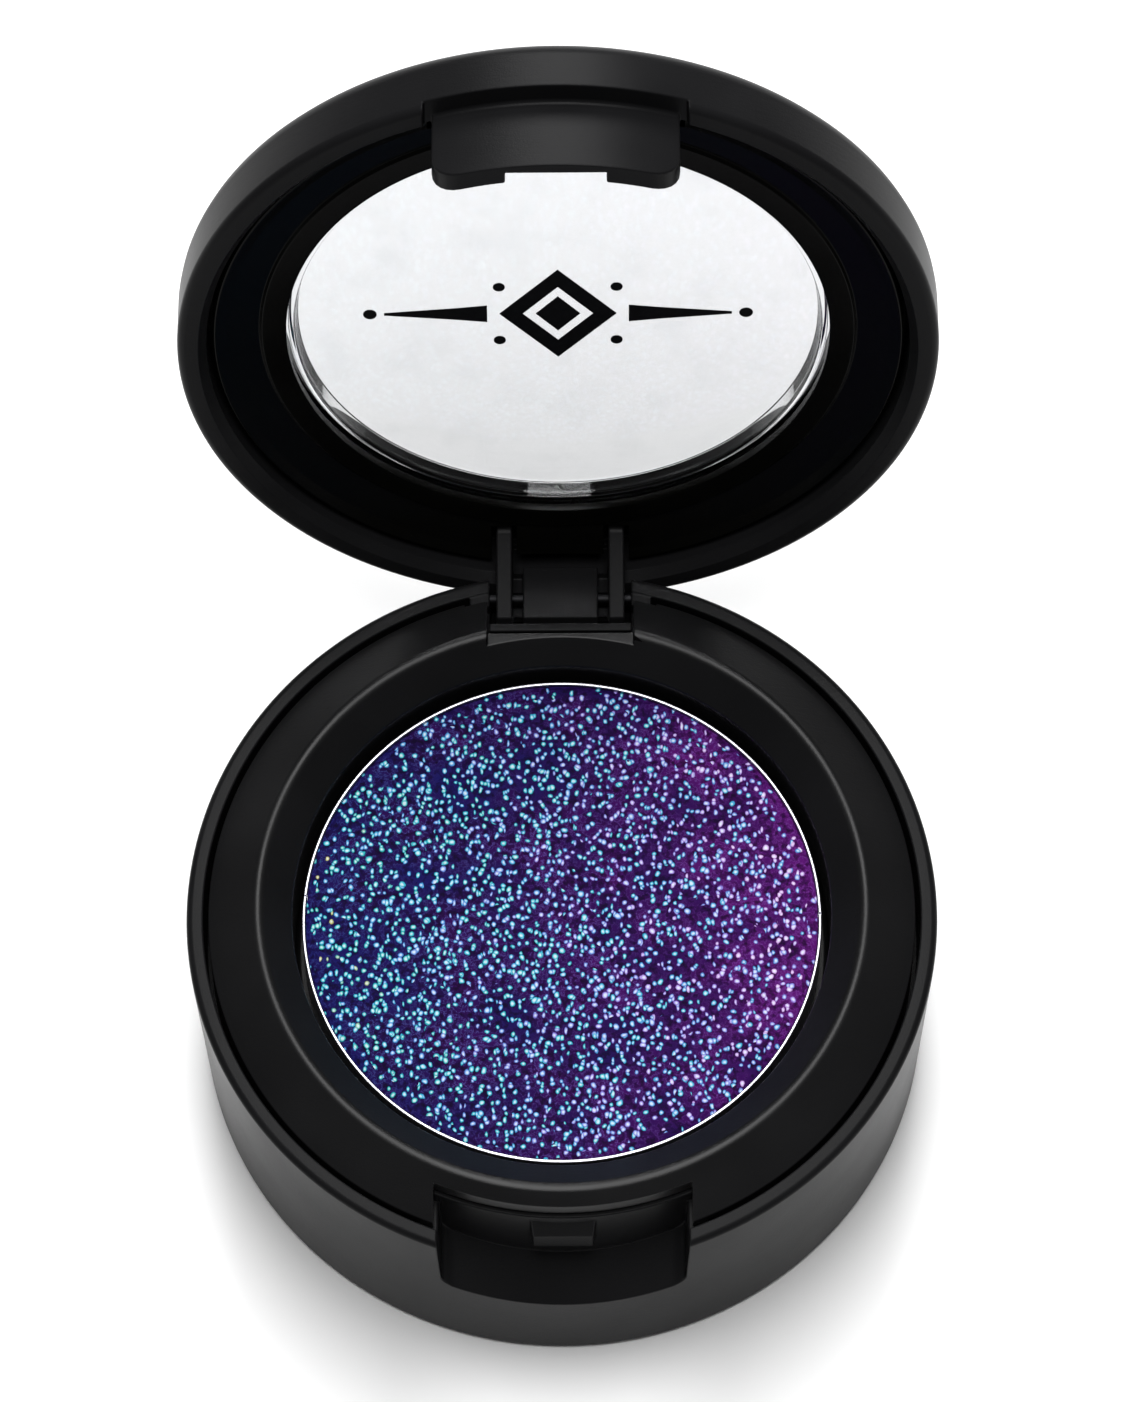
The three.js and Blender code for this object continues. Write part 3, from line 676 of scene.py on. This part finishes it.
def lug_and_ribs():
    """The lid's half of the hinge: a plate with a web behind it, between two rounded ribs."""
    rib = [
        (LUG_BACK_Y, LUG_TOP_Z), (RIB_REACH_Y, LUG_TOP_Z), (RIB_REACH_Y, LID_RIM_Z + 2.0, 0.3),
        (RIB_REACH_Y + 0.3, LID_RIM_Z + 1.75, 0.6), (RIB_END_Y, LUG_END_Z, 0.15),
        (LUG_HEEL_Y, LUG_END_Z, 0.1), (LUG_HEEL_Y, LUG_HEEL_Z, 0.1), (LUG_BACK_Y, LUG_HEEL_Z, 0.1),
    ]
    web = [
        (LUG_BACK_Y, LUG_TOP_Z), (WEB_Y, LUG_TOP_Z), (WEB_Y, WEB_Z, 0.1),
        (LUG_PLATE_Y, WEB_Z, 0.1), (LUG_PLATE_Y, LUG_END_Z, 0.1), (LUG_HEEL_Y, LUG_END_Z, 0.1),
        (LUG_HEEL_Y, LUG_HEEL_Z, 0.1), (LUG_BACK_Y, LUG_HEEL_Z, 0.1),
    ]
    web_half = RIB_IN + 0.4         # the web ends inside the ribs
    lug = prism(web, "x", -web_half, web_half)
    for side in (-1, 1):
        x0, x1 = sorted((side * LUG_PLATE_HALF, side * (LUG_HALF + 1)))
        cut(lug, block((x0, 15, LUG_END_Z - 1), (x1, SLIT_Y, WEB_Z)))
    for side in (-1, 1):
        x0, x1 = sorted((side * RIB_IN, side * LUG_HALF))
        join(lug, soften(prism(rib, "x", x0, x1), 0.3))
    return lug


def tab():
    """The front tab that reaches down into the thumb notch, with a pocket for the catch behind it."""
    low = LID_RIM_Z - TAB_DROP
    recess_z = LID_RIM_Z + TAB_RECESS_H
    high = recess_z + 0.7
    slab = prism([(-TAB_HALF, high), (-TAB_HALF, low, TAB_CORNER), (TAB_HALF, low, TAB_CORNER),
                  (TAB_HALF, high)], "y", -19, -13)
    slab = common(slab, lathe([(TAB_IN_R, 0), (TAB_OUT_R, 0), (TAB_OUT_R, recess_z, 0.35),
                               (TAB_OUT_R + 0.5, recess_z), (TAB_OUT_R + 0.5, LID_TOP_Z),
                               (TAB_IN_R, LID_TOP_Z)]))
    return cut(slab, block((-POCKET_HALF, -POCKET_R, low - 1), (POCKET_HALF, -10, LID_RIM_Z - 0.2)))


def lid_shell():
    z = LID_RIM_Z
    plate_z = z + LID_H - LID_PLATE
    shell = lathe([
        (LID_IN_R + 0.4, z, 0.05), (OUTER_R, z, 0.4), (OUTER_R, z + LID_H, 1.35),
        (WINDOW_HOLE_R, z + LID_H, 0.18), (WINDOW_HOLE_R, plate_z, 0.05),
        (LID_IN_R, plate_z, 0.15), (LID_IN_R, z + 0.5, 0.12),
    ])
    relief = block((-NOTCH_HALF, -FAR, z - 1), (NOTCH_HALF, -15, z + TAB_RECESS_H))
    slot = block((-LUG_HALF, 15, z - 1), (LUG_HALF, FAR, plate_z - LID_SKIN))
    shell = join(cut(shell, relief, slot), lug_and_ribs(), tab())
    return cut(shell, pin_rod(BORE_R, LUG_HALF + 1))


def lid_inner_ring():
    """The dished ring inside the lid, with room left for the tab, the ribs and the web."""
    z = LID_RIM_Z
    under = z + LID_H - LID_PLATE - RING_CLEAR
    lip_low, lip_high = z + 1.5, z + 1.95
    ring = lathe([
        (RING_LIP_R, lip_low, 0.05), (RING_IN_R - 0.2, lip_low, 0.06), (RING_IN_R - 0.05, z + 1.65, 0.05),
        (RING_DISH_R, z + 1.17, RING_DISH_ROUND), (RING_OUT_R, z + 0.86, 0.16), (RING_OUT_R, under),
        (RING_IN_R, under), (RING_IN_R, lip_high), (RING_LIP_R, lip_high, 0.05),
    ])
    gap = RING_CLEAR
    above = z + 9
    tab_space = cut(block((-TAB_HALF - gap, -FAR, 0), (TAB_HALF + gap, -1, above)),
                    disc(TAB_IN_R - gap, -1, above + 1))
    ribs = [block((x0, RIB_REACH_Y - gap, 0), (x1, FAR, above))
            for x0, x1 in ((-LUG_HALF - gap, -RIB_IN + gap), (RIB_IN - gap, LUG_HALF + gap))]
    web = block((-LUG_HALF, LUG_PLATE_Y - 0.4, 0), (LUG_HALF, FAR, above + 0.1))
    return cut(ring, tab_space, *ribs, web)


def lid_window():
    top = LID_TOP_Z - WINDOW_SINK
    seat = LID_TOP_Z - LID_PLATE - FLANGE_DROP
    flange = seat - WINDOW_FLANGE_T
    return lathe([
        (0, top - WINDOW_T), (WINDOW_R - 0.45, top - WINDOW_T, 0.08), (WINDOW_R - 0.3, flange, 0.1),
        (WINDOW_FLANGE_R, flange, 0.12), (WINDOW_FLANGE_R, seat, 0.05),
        (WINDOW_R, seat, 0.05), (WINDOW_R, top, 0.15), (0, top),
    ])


def window_print():
    """A generic divider ornament printed on the inside of the window: lozenges, tapered bars and dots."""
    face = LID_TOP_Z - WINDOW_SINK - WINDOW_T
    film, gap = 0.03, 0.01
    dot_sides = 32
    dot_x, dot_y = 2.9, 1.95
    bar = [(3.5, 0.6), (3.5, -0.6), (5.0, -0.42), (8.6, -0.08), (8.6, 0.08), (5.0, 0.42)]

    def printed(outline):
        return prism(outline, "z", face - gap - film, face - gap)

    def lozenge(half_x, half_y):
        return [(-half_x, 0), (0, -half_y), (half_x, 0), (0, half_y)]

    parts = [
        cut(printed(lozenge(2.9, 3.2)), prism(lozenge(1.75, 1.95), "z", face - 1, face + 1)),
        printed(lozenge(1.1, 1.25)),
    ]
    for side in (-1, 1):
        parts.append(printed([(side * x, y) for x, y in bar]))
        parts.append(printed(circle(side * 9.3, 0, 0.34, dot_sides)))
        parts.append(printed(circle(side * dot_x, dot_y, 0.3, dot_sides)))
        parts.append(printed(circle(side * dot_x, -dot_y, 0.3, dot_sides)))
    bm = bmesh.new()
    for part in parts:
        bm.from_mesh(part.data)
        bpy.data.objects.remove(part)
    return as_object(bm)


# ---- pieces ------------------------------------------------------------------------------

finish_piece(base_shell(), "base_shell_moulded", "base", ["base_shell"], material=CASE)
finish_piece(pan_holder(), "pan_holder_moulded", "base", ["pan_holder"], bevel=0.06,
             material=DECK)
finish_piece(shadow_pan(), "shadow_pan_pressed_tin", "base", ["shadow_pan"], bevel=0.0,
             material=METAL)
finish_piece(pressed_shadow(), "pressed_shadow_cake", "base", ["pressed_shadow"], bevel=0.0,
             material=GLITTER, weld=False)
finish_piece(pin_rod(PIN_R, PIN_HALF), "hinge_pin_round", "base", ["hinge_pin"], bevel=0.08,
             material=PIN_STEEL_PAINTED_SHADE)
finish_piece(disc(LABEL_R, 0, LABEL_T, 0.04), "base_label_disc", "base", ["base_label"], bevel=0.0,
             material=PAPER)
finish_piece(lid_shell(), "lid_shell_moulded", "lid", ["lid_shell"], material=CASE)
finish_piece(lid_inner_ring(), "lid_inner_ring_moulded", "lid", ["lid_inner_ring"],
             bevel=0.05, material=RING)
finish_piece(lid_window(), "lid_window_clear", "lid", ["lid_window"], bevel=0.0, material=CLEAR)
finish_piece(window_print(), "window_print", "lid", bevel=0.0, material=INK,
             weld=False)
for node, glue in (("pan_adhesive", GLUE), ("window_adhesive", BLACK_GLUE)):
    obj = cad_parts[node]
    obj.data.materials.clear()
    obj.data.materials.append(glue)


# ---- floor, light and camera -------------------------------------------------------------

FLOOR_DROP = 0.03               # keeps the floor's face clear of the compact's underside
FLOOR_LOW, FLOOR_HIGH = (0.94, 0.94, 0.94, 1), (0.96, 0.96, 0.96, 1)
WORLD_STRENGTH = 0.11


def floor():
    f = Finish("floor_white")
    f.link(f.mix(f.noise(60.0, 3.0), FLOOR_LOW, FLOOR_HIGH), f.shader.inputs["Base Color"])
    f.set(Roughness=0.9)
    f.shader.inputs["Specular IOR Level"].default_value = 0.1
    bm = bmesh.new()
    bmesh.ops.create_grid(bm, x_segments=2, y_segments=2, size=3.0)
    bmesh.ops.translate(bm, verts=bm.verts, vec=(0, 0, -FLOOR_DROP * MM))
    obj = as_object(bm, "floor")
    obj.data.materials.append(f.mat)


def area_light(name, place, target, size, power):
    data = bpy.data.lights.new(name, "AREA")
    data.shape = "RECTANGLE"
    data.size, data.size_y = size
    data.energy = power
    lamp = bpy.data.objects.new(name, data)
    bpy.context.scene.collection.objects.link(lamp)
    lamp.location = place
    lamp.rotation_euler = (Vector(target) - Vector(place)).to_track_quat("-Z", "Y").to_euler()


def camera():
    """A long lens that looks down steeply on the open compact."""
    eye = Vector((1.41, -145.67, 365.25)) * MM
    elevation, yaw, roll = math.radians(65.94), math.radians(-0.52), math.radians(-0.81)
    ahead = math.cos(elevation)
    forward = Vector((math.sin(yaw) * ahead, math.cos(yaw) * ahead, -math.sin(elevation)))
    level = Vector((math.cos(yaw), -math.sin(yaw), 0))
    upright = level.cross(forward)
    right = math.cos(roll) * level + math.sin(roll) * upright
    up = -math.sin(roll) * level + math.cos(roll) * upright
    data = bpy.data.cameras.new("camera")
    data.sensor_width = 36
    data.lens = 196.08
    data.clip_start, data.clip_end = 0.01, 20
    obj = bpy.data.objects.new("camera", data)
    bpy.context.scene.collection.objects.link(obj)
    turn = Matrix((right, up, -forward)).transposed()
    obj.matrix_world = Matrix.Translation(eye) @ turn.to_4x4()
    bpy.context.scene.camera = obj


def surroundings():
    """An even white world, weak enough that the two lights shape the black plastic."""
    world = bpy.data.worlds.new("studio")
    world.use_nodes = True
    background = world.node_tree.nodes["Background"]
    background.inputs["Color"].default_value = (1, 1, 1, 1)
    background.inputs["Strength"].default_value = WORLD_STRENGTH
    bpy.context.scene.world = world


floor()
camera()
surroundings()
area_light("top_soft", (0.0, 0.1, 0.6), (0, 0, 0.01), (0.26, 0.6), 5.4)
area_light("back_soft", (0.0, 0.7, 0.45), (0, 0.02, 0.02), (0.3, 0.4), 4.2)
bpy.context.scene.view_settings.view_transform = "Standard"
